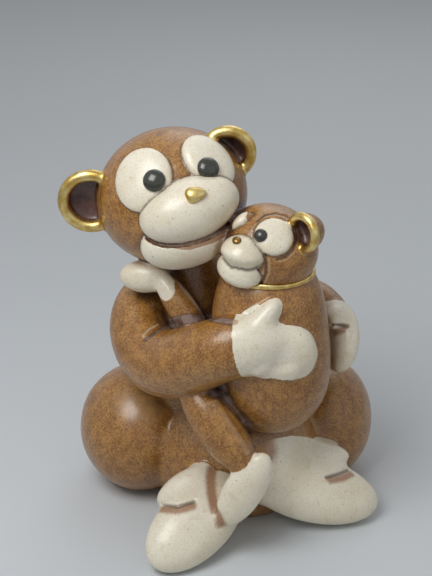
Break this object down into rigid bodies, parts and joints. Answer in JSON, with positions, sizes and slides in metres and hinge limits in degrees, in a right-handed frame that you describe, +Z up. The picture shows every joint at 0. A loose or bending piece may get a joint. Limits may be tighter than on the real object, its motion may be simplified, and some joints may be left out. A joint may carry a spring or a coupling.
{
  "type": "animal figurine",
  "caption": "Seated monkey figurine in hand-painted glazed ceramic, hugging her baby on her lap, with gold ears and a flat base.",
  "frame": {"origin": "on the table plane under the lap, on the flat base of the body", "axes": "+Z up, the faces look towards -Y, +X to the viewer's right"},
  "size_m": [0.1283, 0.1069, 0.1597],
  "materials": {
    "brown_antique": "satin warm brown glaze, hand rubbed, with a dark wash in the hollows",
    "cream_glaze": "satin cream glaze with fine pinholes",
    "gold_lustre": "brushed gold lustre over glaze",
    "pupil_gloss": "near-black gloss glaze",
    "ear_umber": "dark umber wash, satin",
    "lip_wash": "brown-pink wash, satin"
  },
  "bodies": {
    "root": {"baby_body": "brown_antique", "baby_chin": "cream_glaze", "baby_collar": "gold_lustre", "baby_head": "brown_antique", "baby_left_arm": "brown_antique", "baby_left_ear": "ear_umber", "baby_left_ear_rim": "gold_lustre", "baby_left_eye": "cream_glaze", "baby_left_foot": "cream_glaze", "baby_left_hand": "cream_glaze", "baby_left_leg": "brown_antique", "baby_left_pupil": "pupil_gloss", "baby_muzzle": "cream_glaze", "baby_nose": "gold_lustre", "baby_right_eye": "cream_glaze", "mother_body": "brown_antique", "mother_chin": "cream_glaze", "mother_head": "brown_antique", "mother_left_arm": "brown_antique", "mother_left_ear": "ear_umber", "mother_left_ear_rim": "gold_lustre", "mother_left_eye": "cream_glaze", "mother_left_foot": "cream_glaze", "mother_left_hand": "cream_glaze", "mother_left_haunch": "brown_antique", "mother_left_pupil": "pupil_gloss", "mother_mouth": "lip_wash", "mother_muzzle": "cream_glaze", "mother_nose": "gold_lustre", "mother_right_arm": "brown_antique", "mother_right_ear": "ear_umber", "mother_right_ear_rim": "gold_lustre", "mother_right_eye": "cream_glaze", "mother_right_foot": "cream_glaze", "mother_right_hand": "cream_glaze", "mother_right_haunch": "brown_antique", "mother_right_pupil": "pupil_gloss"}
  },
  "joints": []
}
